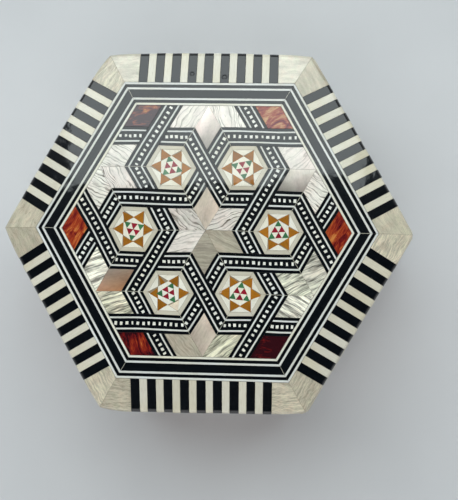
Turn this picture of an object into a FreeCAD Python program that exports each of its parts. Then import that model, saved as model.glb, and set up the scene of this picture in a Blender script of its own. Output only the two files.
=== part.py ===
"""Hexagonal wooden box with a hinged lid, covered with bone, black and mother-of-pearl inlay.

Lengths are millimetres. The origin is the middle of the underside, +Z is up, one corner of the
hexagon points along +X and the hinges are at the back, on the +Y side.
"""
import FreeCAD
import Part
import Sketcher
import math
import os

ROOT3 = math.sqrt(3.0)
SIDES = 6
TURN = 60

# Proportions of the pattern: spacing of the medallions in the outer radius, and star in its medallion.
MEDALLION_SHARE = 0.3477
STAR_SHARE = 0.8175

# Each driving size: its name, its value and what it measures.
SIZES = [
    ("outer_radius", 65.0, "centre to corner of the finished outside"),
    ("felt_thickness", 1.0, "felt sheet under the box"),
    ("felt_inset", 0.8, "edge of the felt in from the outside"),
    ("body_height", 38.0, "walls of the body"),
    ("seam_gap", 0.3, "between the rim of the body and the lid"),
    ("lid_side_height", 13.0, "upright side of the lid, up to its eased edge"),
    ("edge_easing", 0.9, "eased outer edge of the sloping border"),
    ("bevel_drop", 3.2, "fall of the sloping border from the flat top to the eased edge"),
    ("wall_thickness", 6.0, "wall boards of the body and the lid"),
    ("base_thickness", 5.0, "base board"),
    ("lid_board_thickness", 6.0, "lid board"),
    ("inlay_thickness", 1.2, "every piece of inlay"),
    ("glue_line", 0.04, "between neighbouring pieces"),
    ("lining_thickness", 1.2, "velvet lining on the walls"),
    ("pad_thickness", 2.0, "velvet pads on the floor and inside the lid"),
    ("lining_reveal", 0.8, "bare wood between the lining and the rim"),
    ("strap_edge", 0.84, "black edge of a strap"),
    ("strap_line", 0.68, "bone line of a strap"),
    ("strap_core", 2.76, "black core of a strap"),
    ("frame_bone", 0.82, "bone stringing"),
    ("frame_black", 0.8, "narrow black stringing"),
    ("frame_band", 2.4, "wide black stringing"),
    ("corner_block", 4.95, "pearl corner block along the inside of the sloping border"),
    ("black_bars", 9, "black bars on one side of the border"),
    ("corner_strip", 1.2, "bone corner strip, on each of its two faces"),
    ("wall_lozenges", 3, "pearl lozenges on one side of the body"),
    ("lid_side_tiles", 4, "pearl tiles on one upright side of the lid"),
    ("hinge_inset", 1.9, "hinge axis in from the finished back"),
    ("hinge_chamfer_rise", 2.8, "chamfer of the back edges, at the finished back"),
    ("hinge_end", 15.5, "middle of a hinge in from the nearer corner of the box"),
    ("leaf_length", 18.0, "hinge leaf along the hinge axis"),
    ("leaf_depth", 5.0, "hinge leaf from the axis to its far edge"),
    ("leaf_thickness", 0.8, "hinge leaf"),
    ("knuckle_radius", 1.6, "outside of the hinge knuckles"),
    ("pin_radius", 0.75, "hinge pin"),
    ("pin_clearance", 0.03, "pin to the bore of the knuckles, all round"),
    ("knuckle_float", 0.1, "play at each end of a knuckle"),
    ("hinge_clearance", 0.3, "knuckles to the wood and to the other leaf"),
    ("mortise_clearance", 0.1, "hinge leaf to the sides of its mortise"),
]

doc = FreeCAD.newDocument("inlaid_box")
sheet = doc.addObject("Spreadsheet::Sheet", "Sizes")
for row, (alias, value, meaning) in enumerate(SIZES, start=1):
    sheet.set(f"A{row}", meaning)
    sheet.set(f"B{row}", str(value))
    sheet.setAlias(f"B{row}", alias)
doc.recompute()

# Finished sub-parts by label, in the order in which they are made.
sub_parts = {}


class Length:
    """A sum of sheet sizes, each times a plain number, with its value and its expression."""

    def __init__(self, terms):
        self.terms = terms

    def __add__(self, other):
        names = list(self.terms) + [name for name in other.terms if name not in self.terms]
        return Length({name: self.terms.get(name, 0.0) + other.terms.get(name, 0.0) for name in names})

    def __mul__(self, factor):
        return Length({name: share * factor for name, share in self.terms.items()})

    def __sub__(self, other):
        return self + other * -1.0

    def __neg__(self):
        return self * -1.0

    def __truediv__(self, divisor):
        return self * (1.0 / divisor)

    def value(self):
        return sum(share * float(sheet.get(name)) for name, share in self.terms.items())

    def text(self):
        terms = [f"{share:.12f} * Sizes.{name}" for name, share in self.terms.items()]
        return " + ".join(terms) if terms else "0"


def size(name):
    return Length({name: 1.0})


def count(name):
    return int(round(float(sheet.get(name))))


ZERO = Length({})

# Distances from the centre to the flat sides, and heights, shared by the pieces below.
OUTER = size("outer_radius") * (ROOT3 / 2)
CORE = OUTER - size("inlay_thickness")
INNER = CORE - size("wall_thickness")
LINED = INNER - size("lining_thickness")
HALF_SIDE = size("outer_radius") / 2
STRAP = size("strap_edge") * 2 + size("strap_line") * 2 + size("strap_core")
PITCH = size("outer_radius") * MEDALLION_SHARE
RHOMB = PITCH / 2 - STRAP / ROOT3
STAR = RHOMB * STAR_SHARE
FIELD = PITCH * ROOT3
FLAT = FIELD + size("frame_bone") * 4 + size("frame_black") * 2 + size("frame_band")
FLOOR = size("felt_thickness")
BASE_TOP = FLOOR + size("base_thickness")
RIM = FLOOR + size("body_height")
LID = RIM + size("seam_gap")
ARRIS = LID + size("lid_side_height")
TOP = ARRIS + size("edge_easing") + size("bevel_drop")
LID_BOARD = TOP - size("inlay_thickness") - size("lid_board_thickness")
SIDE_TOP = ARRIS - size("inlay_thickness")
AXIS_Y = OUTER - size("hinge_inset")
AXIS_Z = RIM + size("seam_gap") / 2


def along(angle, distance):
    """The point at a distance from the centre in a direction given in degrees."""
    turn = math.radians(angle)
    return distance * math.cos(turn), distance * math.sin(turn)


def reach(point, angle):
    """How far a point lies from the centre, measured along a direction in degrees."""
    turn = math.radians(angle)
    return point[0] * math.cos(turn) + point[1] * math.sin(turn)


def tile(*cuts):
    """Corners of a flat piece sawn by straight cuts, each a direction and a distance from the centre.

    Every cut is set back by half a glue line, so that neighbouring pieces don't quite touch.
    """
    cuts = sorted((angle % 360, distance - size("glue_line") / 2) for angle, distance in cuts)
    corners = []
    for (angle, distance), (next_angle, next_distance) in zip(cuts, cuts[1:] + cuts[:1]):
        here = math.radians(angle)
        there = math.radians(next_angle)
        spread = math.sin(there - here)
        x = (distance * math.sin(there) - next_distance * math.sin(here)) / spread
        y = (next_distance * math.cos(here) - distance * math.cos(there)) / spread
        corners.append((x, y))
    return corners


def strip(facing, near, far):
    """One mitred strip of a hexagonal ring, between two distances, on the side that faces an angle."""
    return tile((facing, far), (facing + 180, -near), (facing + 120, ZERO), (facing - 120, ZERO))


def rectangle(left, right, bottom, top):
    return tile((0, right), (90, top), (180, -left), (270, -bottom))


def hexagon(apothem):
    """Hexagon with corners on the X axis."""
    return [along(TURN * corner, apothem * (2 / ROOT3)) for corner in range(SIDES)]


def origin_feature(body, role):
    return [feature for feature in body.Origin.OriginFeatures if feature.Role == role][0]


def add_outlines(body, name, role, outlines, lift=ZERO):
    """A sketch on an origin plane, moved along the plane's normal, with every corner bound to the sheet."""
    sketch = body.newObject("Sketcher::SketchObject", name)
    sketch.AttachmentSupport = [(origin_feature(body, role), "")]
    sketch.MapMode = "FlatFace"
    sketch.setExpression("AttachmentOffset.Base.z", lift.text())
    joins = []
    places = []
    expressions = []
    for corners in outlines:
        first = sketch.GeometryCount
        points = [FreeCAD.Vector(x.value(), y.value(), 0) for x, y in corners]
        for start, end in zip(points, points[1:] + points[:1]):
            sketch.addGeometry(Part.LineSegment(start, end), False)
        for step, (x, y) in enumerate(corners):
            line = first + step
            following = first + (step + 1) % len(corners)
            joins.append(Sketcher.Constraint("Coincident", line, 2, following, 1))
            places.append(Sketcher.Constraint("DistanceX", -1, 1, line, 1, x.value()))
            places.append(Sketcher.Constraint("DistanceY", -1, 1, line, 1, y.value()))
            expressions += [x.text(), y.text()]
    sketch.addConstraint(joins)
    for constraint, expression in zip(sketch.addConstraint(places), expressions):
        sketch.setExpression(f"Constraints[{constraint}]", expression)
    return sketch


def repeat_around(body, feature):
    """Six copies of a feature about the Z axis."""
    pattern = body.newObject("PartDesign::PolarPattern", "Around")
    pattern.Originals = [feature]
    pattern.Axis = (origin_feature(body, "Z_Axis"), [""])
    pattern.Angle = 360
    pattern.Occurrences = SIDES
    body.Tip = pattern


def prism(label, outlines, bottom, height, around=False, role="XY_Plane"):
    """Flat pieces padded up from a plane, optionally repeated on all six sides."""
    body = doc.addObject("PartDesign::Body", label)
    body.Label = label
    sketch = add_outlines(body, "Outline", role, outlines, bottom)
    pad = body.newObject("PartDesign::Pad", "Thickness")
    pad.Profile = sketch
    pad.setExpression("Length", height.text())
    body.Tip = pad
    if around:
        repeat_around(body, pad)
    return body


def keep(label, made):
    """Enters a finished piece as a sub-part."""
    made.Label = label
    sub_parts[label] = made
    return made


def side_panel(label, outlines):
    """Inlay on the upright sides: outlines drawn on the front face and repeated on all six."""
    return prism(label, outlines, CORE, size("inlay_thickness"), True, "XZ_Plane")


def boolean(kind, label, base, tool):
    made = doc.addObject(kind, label)
    made.Base = base
    made.Tool = tool
    made.Label = label
    return made


def lying_cylinder(label, middle_x, length, radius):
    """A cylinder on the hinge axis, centred at a place along it."""
    made = doc.addObject("Part::Cylinder", label)
    made.Placement = FreeCAD.Placement(FreeCAD.Vector(), FreeCAD.Rotation(FreeCAD.Vector(0, 1, 0), 90))
    made.setExpression("Radius", radius.text())
    made.setExpression("Height", length.text())
    made.setExpression("Placement.Base.x", (middle_x - length / 2).text())
    made.setExpression("Placement.Base.y", AXIS_Y.text())
    made.setExpression("Placement.Base.z", AXIS_Z.text())
    return made


# Sides by name, with the direction that each one faces.
FACINGS = {
    "front": 270,
    "front_right": 330,
    "back_right": 30,
    "back": 90,
    "back_left": 150,
    "front_left": 210,
}
HINGES = {"left": -1, "right": 1}


def hinge_middle(side):
    return (HALF_SIDE - size("hinge_end")) * HINGES[side]


def make_hinge_space():
    """Everything cut away for the hinges: a V along the back edges, knuckle grooves and leaf mortises.

    The two faces of the V meet when the lid is open and stop it.
    """
    behind = size("hinge_inset") * 2
    rise = size("hinge_chamfer_rise") * 2
    body = doc.addObject("PartDesign::Body", "hinge_chamfers")
    profile = [(AXIS_Y, AXIS_Z), (AXIS_Y + behind, AXIS_Z - rise), (AXIS_Y + behind, AXIS_Z + rise)]
    sketch = add_outlines(body, "Chamfers", "YZ_Plane", [profile])
    pad = body.newObject("PartDesign::Pad", "AcrossTheBack")
    pad.Profile = sketch
    pad.SideType = "Symmetric"
    pad.setExpression("Length", (size("outer_radius") * 2).text())
    body.Tip = pad
    tools = [body]
    room = size("hinge_clearance")
    side_room = size("mortise_clearance")
    for side in HINGES:
        middle = hinge_middle(side)
        tools.append(lying_cylinder(f"hinge_{side}_groove", middle, size("leaf_length") + room * 2,
                                    size("knuckle_radius") + room))
        half = size("leaf_length") / 2 + side_room
        outline = [(middle - half, AXIS_Y - size("leaf_depth") - side_room),
                   (middle + half, AXIS_Y - size("leaf_depth") - side_room),
                   (middle + half, AXIS_Y),
                   (middle - half, AXIS_Y)]
        depth = size("leaf_thickness") * 2 + size("seam_gap")
        tools.append(prism(f"hinge_{side}_mortise", [outline], RIM - size("leaf_thickness"), depth))
    space = doc.addObject("Part::MultiFuse", "hinge_space")
    space.Shapes = tools
    return space


def keep_around_hinges(label, blank, space):
    """Enters a piece as a sub-part once the room for the hinges is cut out of it."""
    blank.Label = f"{label}_blank"
    keep(label, boolean("Part::Cut", label, blank, space))


def make_body_boards(space):
    felt = hexagon(OUTER - size("felt_inset"))
    keep("base_felt", prism("base_felt", [felt], ZERO, size("felt_thickness")))
    board = hexagon(INNER - size("glue_line"))
    keep("base_board", prism("base_board", [board], FLOOR, size("base_thickness")))
    for name, facing in FACINGS.items():
        label = f"wall_{name}"
        blank = prism(label, [strip(facing, INNER, CORE)], FLOOR, size("body_height"))
        if name.startswith("back"):
            keep_around_hinges(label, blank, space)
        else:
            keep(label, blank)


def make_linings():
    pad = hexagon(LINED - size("glue_line"))
    band = [strip(FACINGS["front"], LINED, INNER)]
    bare = size("lining_reveal")
    keep("floor_lining", prism("floor_lining", [pad], BASE_TOP, size("pad_thickness")))
    keep("wall_linings", prism("wall_linings", band, BASE_TOP, RIM - bare - BASE_TOP, True))
    keep("lid_lining", prism("lid_lining", [pad], LID_BOARD - size("pad_thickness"), size("pad_thickness")))
    keep("lid_wall_linings", prism("lid_wall_linings", band, LID + bare, LID_BOARD - LID - bare, True))


def corner_chevron():
    """Plan of the bone strip that covers a corner of the box, on both of its faces."""
    corner = size("outer_radius")
    width = size("corner_strip") - size("glue_line") / 2
    thickness = size("inlay_thickness")
    tip_x = corner - width / 2
    tip_y = width * (ROOT3 / 2)
    inner_x = tip_x - thickness * (ROOT3 / 2)
    inner_y = tip_y - thickness / 2
    inner_corner = corner - thickness * (2 / ROOT3)
    return [(corner, ZERO), (tip_x, tip_y), (inner_x, inner_y), (inner_corner, ZERO),
            (inner_x, -inner_y), (tip_x, -tip_y)]


def make_body_inlay(space):
    """Each side of the body: a stringing border round a row of pearl lozenges and triangles."""
    bone = size("frame_bone")
    band = size("frame_band")
    edge = HALF_SIDE - size("corner_strip")
    inside = edge - band
    field = inside - bone
    strips = prism("wall_corner_strips", [corner_chevron()], FLOOR, size("body_height"), True)
    keep_around_hinges("wall_corner_strips", strips, space)

    rims = [rectangle(-edge, edge, FLOOR, FLOOR + bone), rectangle(-edge, edge, RIM - bone, RIM)]
    keep_around_hinges("wall_bone_rims", side_panel("wall_bone_rims", rims), space)

    low = FLOOR + bone
    high = RIM - bone
    bands = [rectangle(-edge, edge, low, low + band), rectangle(-edge, edge, high - band, high),
             rectangle(-edge, -inside, low + band, high - band), rectangle(inside, edge, low + band, high - band)]
    keep_around_hinges("wall_black_bands", side_panel("wall_black_bands", bands), space)

    low = low + band
    high = high - band
    lines = [rectangle(-inside, inside, low, low + bone), rectangle(-inside, inside, high - bone, high),
             rectangle(-inside, -field, low + bone, high - bone), rectangle(field, inside, low + bone, high - bone)]
    keep_around_hinges("wall_bone_lines", side_panel("wall_bone_lines", lines), space)

    low = low + bone
    high = high - bone
    middle = (low + high) / 2
    lozenges = []
    triangles = []
    gap = size("glue_line") / 2
    spread = field / count("wall_lozenges")
    centres = [spread * (2 * place + 1) - field for place in range(count("wall_lozenges"))]
    for centre in centres:
        left = centre - spread + gap
        right = centre + spread - gap
        lozenges.append([(centre, low), (right, middle), (centre, high), (left, middle)])
    for here, there in zip(centres, centres[1:]):
        between = (here + there) / 2
        triangles.append([(here + gap, low), (there - gap, low), (between, middle - gap)])
        triangles.append([(here + gap, high), (there - gap, high), (between, middle + gap)])
    for end, neighbour, inward in ((-field, centres[0], -gap), (field, centres[-1], gap)):
        triangles.append([(end, low), (neighbour + inward, low), (end, middle - gap)])
        triangles.append([(end, high), (neighbour + inward, high), (end, middle + gap)])
    keep("wall_pearl_lozenges", side_panel("wall_pearl_lozenges", lozenges))
    keep("wall_pearl_triangles", side_panel("wall_pearl_triangles", triangles))


def bevelled_slab(label, apothem, bottom, sink):
    """A hexagonal slab with the slope of the lid's border planed on all six sides, set lower by sink."""
    body = doc.addObject("PartDesign::Body", label)
    body.Label = label
    plan = add_outlines(body, "Plan", "XY_Plane", [hexagon(apothem)], bottom)
    pad = body.newObject("PartDesign::Pad", "Slab")
    pad.Profile = plan
    pad.setExpression("Length", (TOP - sink - bottom).text())
    beyond = OUTER + size("inlay_thickness") * 2
    above = TOP + size("inlay_thickness")
    waste = [(-FLAT, TOP - sink), (size("edge_easing") - OUTER, TOP - size("bevel_drop") - sink),
             (-OUTER, ARRIS - sink), (-beyond, ARRIS - sink), (-beyond, above), (-FLAT, above)]
    profile = add_outlines(body, "Slope", "YZ_Plane", [waste])
    pocket = body.newObject("PartDesign::Pocket", "Bevel")
    pocket.Profile = profile
    pocket.Type = "ThroughAll"
    pocket.SideType = "Symmetric"
    repeat_around(body, pocket)
    return body


def make_lid_boards(space):
    keep("lid_board", bevelled_slab("lid_board", CORE, LID_BOARD, size("inlay_thickness")))
    for name, facing in FACINGS.items():
        label = f"lid_wall_{name}"
        blank = prism(label, [strip(facing, INNER, CORE)], LID, LID_BOARD - LID)
        if name.startswith("back"):
            keep_around_hinges(label, blank, space)
        else:
            keep(label, blank)


def make_lid_side_inlay(space):
    """Upright sides of the lid, from the bottom: bone, black, bone, pearl, bone."""
    bone = size("frame_bone")
    band = size("frame_band")
    edge = HALF_SIDE - size("corner_strip")
    strips = prism("lid_corner_strips", [corner_chevron()], LID, SIDE_TOP - LID, True)
    keep_around_hinges("lid_corner_strips", strips, space)

    low = LID + bone
    pearl = low + band + bone
    high = SIDE_TOP - bone
    lines = [rectangle(-edge, edge, LID, low), rectangle(-edge, edge, low + band, pearl),
             rectangle(-edge, edge, high, SIDE_TOP)]
    keep_around_hinges("lid_side_bone_lines", side_panel("lid_side_bone_lines", lines), space)
    bands = [rectangle(-edge, edge, low, low + band)]
    keep_around_hinges("lid_side_black_bands", side_panel("lid_side_black_bands", bands), space)
    width = edge * (2.0 / count("lid_side_tiles"))
    tiles = []
    for place in range(count("lid_side_tiles")):
        start = width * place - edge
        tiles.append(rectangle(start, start + width, pearl, high))
    keep("lid_side_pearl", side_panel("lid_side_pearl", tiles))


def make_border():
    """Bars and corner blocks of the sloping border, sawn from one bevelled skin over the lid board."""
    skin_bottom = SIDE_TOP - size("inlay_thickness")
    outside = bevelled_slab("border_outside", OUTER, skin_bottom, ZERO)
    under = bevelled_slab("border_under", OUTER + size("inlay_thickness"),
                          skin_bottom - size("inlay_thickness"), size("inlay_thickness"))
    skin = boolean("Part::Cut", "border_skin", outside, under)
    front = FACINGS["front"]
    beyond = OUTER + size("inlay_thickness")
    bars = 2 * count("black_bars") - 1
    end = FLAT / ROOT3 - size("corner_block")
    width = end * (2 / bars)
    plans = {"border_black_bars": [], "border_bone_bars": []}
    for place in range(bars):
        left = width * place - end
        right = left + width
        label = "border_bone_bars" if place % 2 else "border_black_bars"
        plans[label].append(tile((front, beyond), (90, -FLAT), (0, right), (180, -left)))
    plans["border_pearl_corners"] = [tile((front, beyond), (90, -FLAT), (180, -end), (30, ZERO)),
                                     tile((front, beyond), (90, -FLAT), (0, -end), (150, ZERO))]
    height = TOP + size("inlay_thickness") - skin_bottom
    for label, outlines in plans.items():
        plan = prism(f"{label}_plan", outlines, skin_bottom, height, True)
        keep(label, boolean("Part::Common", label, skin, plan))


def top_inlay(label, outlines):
    """Inlay on the flat top of the lid, repeated about the middle."""
    inlay = size("inlay_thickness")
    keep(label, prism(label, outlines, TOP - inlay, inlay, True))


def make_frame():
    """The stringing frame round the field, from the inside out."""
    front = FACINGS["front"]
    rings = {"frame_bone_lines": [], "frame_black_lines": [], "frame_black_band": []}
    order = [("frame_bone_lines", "frame_bone"), ("frame_black_lines", "frame_black"),
             ("frame_bone_lines", "frame_bone"), ("frame_black_band", "frame_band"),
             ("frame_bone_lines", "frame_bone"), ("frame_black_lines", "frame_black"),
             ("frame_bone_lines", "frame_bone")]
    near = FIELD
    for label, width in order:
        far = near + size(width)
        rings[label].append(strip(front, near, far))
        near = far
    for label, outlines in rings.items():
        top_inlay(label, outlines)


def strap_runs():
    """The straps that one turn of 60 degrees repeats: a point, a direction and the two end cuts of each.

    A strap ends at the frame, at a mitred bend of the hexagon round a medallion, or at the side of the
    strap that passes over it. The straps cross at a corner of each such hexagon.
    """
    half = STRAP / 2
    outer = along(0, PITCH * 1.5)
    inner = along(30, FIELD / 2)
    outer_side = reach(outer, 30)
    inner_side = reach(inner, 330)
    bend = FIELD / 2
    return [
        (outer, 300, (330, FIELD), (150, -bend)),
        (outer, 60, (30, FIELD), (210, -outer_side - half)),
        (outer, 60, (210, -bend), (30, outer_side - half)),
        (inner, 60, (90, bend), (270, ZERO)),
        (inner, 0, (330, bend), (150, -inner_side - half)),
        (inner, 0, (150, ZERO), (330, inner_side - half)),
    ]


def make_straps():
    """Laminated straps: each layer lies between two distances from the middle line of its strap."""
    core = size("strap_core") / 2
    line = core + size("strap_line")
    edge = line + size("strap_edge")
    layers = {
        "strap_cores": [(-core, core)],
        "strap_bone_lines": [(-line, -core), (core, line)],
        "strap_black_edges": [(-edge, -line), (line, edge)],
    }
    for label, spans in layers.items():
        outlines = []
        for point, direction, end, other_end in strap_runs():
            middle = reach(point, direction + 90)
            for low, high in spans:
                outlines.append(tile((direction + 90, middle + high), (direction - 90, -middle - low),
                                     end, other_end))
        top_inlay(label, outlines)


def make_tiles():
    """Rhombs between the straps, all of one side length."""
    height = RHOMB * (ROOT3 / 2)
    facing = 30
    inner = (PITCH - RHOMB) * (ROOT3 / 2)
    top_inlay("edge_lozenges", [tile((facing - 60, FIELD / 2), (facing + 60, FIELD / 2),
                                     (facing + 120, -inner), (facing + 240, -inner))])
    far = (PITCH + RHOMB) * (ROOT3 / 2)
    top_inlay("pearl_tiles", [tile((facing, FIELD), (facing + 180, height - FIELD),
                                   (facing + 60 * way, far), (facing + 60 * way + 180, -FIELD / 2))
                              for way in (1, -1)])
    top_inlay("centre_rhombs", [tile((270, ZERO), (330, height), (90, height), (150, ZERO))])
    notch = (PITCH * 2 - RHOMB) * (ROOT3 / 2)
    top_inlay("corner_rhombs", [tile((330, FIELD), (30, FIELD), (150, -notch), (210, -notch))])


def make_medallions():
    """Six-pointed stars: a border, cream gussets, gold points, and nine triangles in the middle."""
    opening = RHOMB * (ROOT3 / 2)
    middle = STAR / ROOT3

    def piece(centre, *cuts):
        """A piece whose cuts are measured from a point of the medallion that lies on the +X axis."""
        home = along(0, PITCH)
        place = (home[0] + centre[0], home[1] + centre[1])
        return tile(*[(angle, distance + reach(place, angle)) for angle, distance in cuts])

    def triangle(direction, distance, pointing):
        """One of the nine small triangles, centred in a direction, with one corner pointing at an angle."""
        return piece(along(direction, distance), *[(pointing + turn, middle / 6) for turn in (60, 180, 300)])

    home = (ZERO, ZERO)
    groups = {"star_borders": [], "star_cream": [], "star_gold_points": [], "star_green": [], "star_red": []}
    for turn in range(0, 360, TURN):
        groups["star_borders"].append(piece(home, (turn + 30, opening), (turn + 150, ZERO),
                                            (turn + 210, -STAR * (ROOT3 / 2)), (turn + 270, ZERO)))
        groups["star_cream"].append(piece(home, (turn + 30, STAR * (ROOT3 / 2)), (turn + 180, -STAR / 2),
                                          (turn + 240, -STAR / 2)))
        groups["star_gold_points"].append(piece(home, (turn + 300, STAR / 2), (turn + 60, STAR / 2),
                                                (turn + 180, -STAR / 2)))
    for turn in (90, 210, 330):
        groups["star_green"].append(triangle(turn, middle * (2 / 3), turn))
        groups["star_red"].append(triangle(turn + 180, middle / 3, turn))
        groups["star_cream"].append(triangle(turn, middle / 3, turn + 180))
        groups["star_cream"].append(piece(home, (turn - 90, STAR / 2), (turn - 30, STAR / 2),
                                          (turn + 120, -middle / 2)))
    for label, outlines in groups.items():
        top_inlay(label, outlines)


def make_hinges():
    """Butt hinges let into the rims: two knuckles on the body leaf, one on the lid leaf, and a pin."""
    length = size("leaf_length")
    third = length / 6
    play = size("knuckle_float")
    radius = size("knuckle_radius")
    far = AXIS_Y - size("leaf_depth")
    notch = AXIS_Y - radius - size("hinge_clearance")
    for side in HINGES:
        middle = hinge_middle(side)
        name = f"hinge_{side}"
        left = middle - length / 2
        right = middle + length / 2
        bore = lying_cylinder(f"{name}_bore", middle, length * 2, size("pin_radius") + size("pin_clearance"))

        inner_left = middle - third - play
        inner_right = middle + third + play
        plate = [(left, far), (right, far), (right, AXIS_Y), (inner_right, AXIS_Y), (inner_right, notch),
                 (inner_left, notch), (inner_left, AXIS_Y), (left, AXIS_Y)]
        blank = doc.addObject("Part::MultiFuse", f"{name}_body_leaf_blank")
        blank.Shapes = [
            prism(f"{name}_body_plate", [plate], RIM - size("leaf_thickness"), size("leaf_thickness")),
            lying_cylinder(f"{name}_knuckle_1", (left + inner_left) / 2, inner_left - left, radius),
            lying_cylinder(f"{name}_knuckle_3", (inner_right + right) / 2, right - inner_right, radius),
        ]
        keep(f"{name}_body_leaf", boolean("Part::Cut", f"{name}_body_leaf", blank, bore))

        inner_left = middle - third + play
        inner_right = middle + third - play
        plate = [(left, far), (right, far), (right, notch), (inner_right, notch), (inner_right, AXIS_Y),
                 (inner_left, AXIS_Y), (inner_left, notch), (left, notch)]
        blank = doc.addObject("Part::MultiFuse", f"{name}_lid_leaf_blank")
        blank.Shapes = [
            prism(f"{name}_lid_plate", [plate], LID, size("leaf_thickness")),
            lying_cylinder(f"{name}_knuckle_2", middle, inner_right - inner_left, radius),
        ]
        keep(f"{name}_lid_leaf", boolean("Part::Cut", f"{name}_lid_leaf", blank, bore))
        keep(f"{name}_pin", lying_cylinder(f"{name}_pin", middle, length, size("pin_radius")))


def check_and_write():
    """Stops at a failed object or a bad shape, then writes one file for each sub-part."""
    doc.recompute()
    for made in doc.Objects:
        if "Invalid" in made.State or "Error" in made.State:
            raise RuntimeError(f"{made.Label} failed: {made.State}")
    for label, made in sub_parts.items():
        if made.Shape.isNull() or not made.Shape.isValid() or not made.Shape.Solids:
            raise RuntimeError(f"{label} has no valid solid")
    os.makedirs("parts", exist_ok=True)
    for label, made in sub_parts.items():
        made.Shape.exportStep(f"parts/{label}.step")
        print(label, len(made.Shape.Solids), round(made.Shape.Volume, 2))


hinge_space = make_hinge_space()
make_body_boards(hinge_space)
make_linings()
make_body_inlay(hinge_space)
make_lid_boards(hinge_space)
make_lid_side_inlay(hinge_space)
make_border()
make_frame()
make_straps()
make_tiles()
make_medallions()
make_hinges()
check_and_write()
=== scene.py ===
"""Hexagonal box with a hinged lid, inlaid with bone, black and mother-of-pearl.

Shapes are worked out in millimetres and written to the meshes in metres. The inlay is laid piece by
piece over the plain boards of the frame, and each piece carries two attributes for its finish: grain,
its own flat coordinates turned to the run of its fibre, and tint, its colour and strength of figure.
"""
import math
from functools import partialmethod

import bpy
import numpy as np
from mathutils import Matrix, Vector


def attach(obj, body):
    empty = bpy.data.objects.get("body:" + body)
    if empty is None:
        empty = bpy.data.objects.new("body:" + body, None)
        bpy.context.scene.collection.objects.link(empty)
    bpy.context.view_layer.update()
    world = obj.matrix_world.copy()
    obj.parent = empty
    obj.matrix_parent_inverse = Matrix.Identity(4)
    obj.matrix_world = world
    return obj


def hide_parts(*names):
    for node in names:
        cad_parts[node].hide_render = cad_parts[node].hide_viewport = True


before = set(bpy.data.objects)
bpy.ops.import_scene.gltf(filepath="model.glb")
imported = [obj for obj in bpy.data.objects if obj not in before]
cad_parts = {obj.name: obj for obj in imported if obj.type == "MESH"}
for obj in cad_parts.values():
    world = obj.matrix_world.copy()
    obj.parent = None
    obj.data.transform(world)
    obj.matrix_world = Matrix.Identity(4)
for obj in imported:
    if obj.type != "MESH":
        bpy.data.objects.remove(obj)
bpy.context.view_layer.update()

rng = np.random.default_rng(11)

MM = 0.001
ROOT3 = math.sqrt(3.0)
TURNS = np.arange(6) * 60.0
FACINGS = {"front": 270, "front_right": 330, "back_right": 30,
           "back": 90, "back_left": 150, "front_left": 210}
SIDES = list(FACINGS.values())

# The box from the centre outwards, and from the ground up.
OUTER_RADIUS = 65.0
OUTER = OUTER_RADIUS * ROOT3 / 2
HALF_SIDE = OUTER_RADIUS / 2
INLAY, GLUE = 1.2, 0.05
WALL, LINING, BOARD, PAD, REVEAL = 6.0, 1.2, 6.0, 2.0, 0.8
INNER = OUTER - INLAY - WALL
LINED = INNER - LINING
FLOOR, BASE_TOP, RIM, LID, TOP = 1.0, 6.0, 39.0, 39.3, 56.4
EDGE_DROP = 4.1
SIDE_TOP = TOP - EDGE_DROP - INLAY
LID_BOARD = TOP - INLAY - BOARD
CORNER_STRIP, NARROWEST = 1.2, 0.2
SIDE_EDGE = HALF_SIDE - CORNER_STRIP

# The hinges: their axis and places, and the ends of the inlay at the chamfers that let the lid swing back.
AXIS_Y, AXIS_Z = OUTER - 1.9, 39.15
HINGE_X = HALF_SIDE - 15.5
NAIL_STEP, NAIL_BACK = 6.5, 3.6
CHAMFER, CHAMFER_GAP = 2.8, 0.03
BODY_BACK_TOP = AXIS_Z - CHAMFER - CHAMFER_GAP
LID_BACK_LOW = AXIS_Z + CHAMFER + CHAMFER_GAP

# The pattern on the lid. The black bites a little into the bone lines and bars next to it.
PITCH = OUTER_RADIUS * 0.3477
FIELD = PITCH * ROOT3
STRAP_CORE, STRAP_LINE, STRAP_EDGE = 2.76, 0.68, 0.84
STRAP = STRAP_CORE + 2 * STRAP_LINE + 2 * STRAP_EDGE
SQUARE_PITCH, SQUARE_LONG, SQUARE_WIDE = 1.74, 0.4, 0.5
MITRE = 0.075
RHOMB = PITCH / 2 - STRAP / ROOT3
STAR = RHOMB * 0.8175
BONE_LINE, BLACK_LINE, BLACK_BAND = 0.82, 0.8, 2.4
BITE, BAR_BITE = 0.065, 0.1
FLAT = FIELD + 4 * BONE_LINE + 2 * BLACK_LINE + BLACK_BAND
BLACK_BARS, CORNER_BLOCK = 9, 4.95
BAR_END = FLAT / ROOT3 - CORNER_BLOCK

# The work of the hand: how far outlines drift on the top and over which steps, how far a leaning piece may
# rise, and the length of shell, bone or wood from which pieces are taken.
DRIFT, DRIFT_STEP, DRIFT_FADE = 0.16, 2.0, 6.0
LEAN_LIMIT, HEIGHT_SPREAD = 0.012, 0.004
STOCK = 300

# The sloping border: its fall, its rounded edge, the softened edges of its bars as inset and drop, how much
# the bars differ, and how close the streaks of the corner blocks lie along and across.
BEVEL_DROP, EDGE_EASING, EDGE_TANGENT = 3.2, 0.9, 1.15
BEVEL_FALL = BEVEL_DROP / (OUTER - EDGE_EASING - FLAT)
STEEP = math.atan(BEVEL_FALL)
BAR_SOFT = np.array([[0.0, 0.05], [0.015, 0.015], [0.05, 0.0]])
BAR_WANDER, BAR_LEAN, BAR_SPREAD, JOINT_WANDER = 0.08, 0.3, 0.03, 0.05
BLOCK_STREAKS = (2.5, 2.0)

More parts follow.
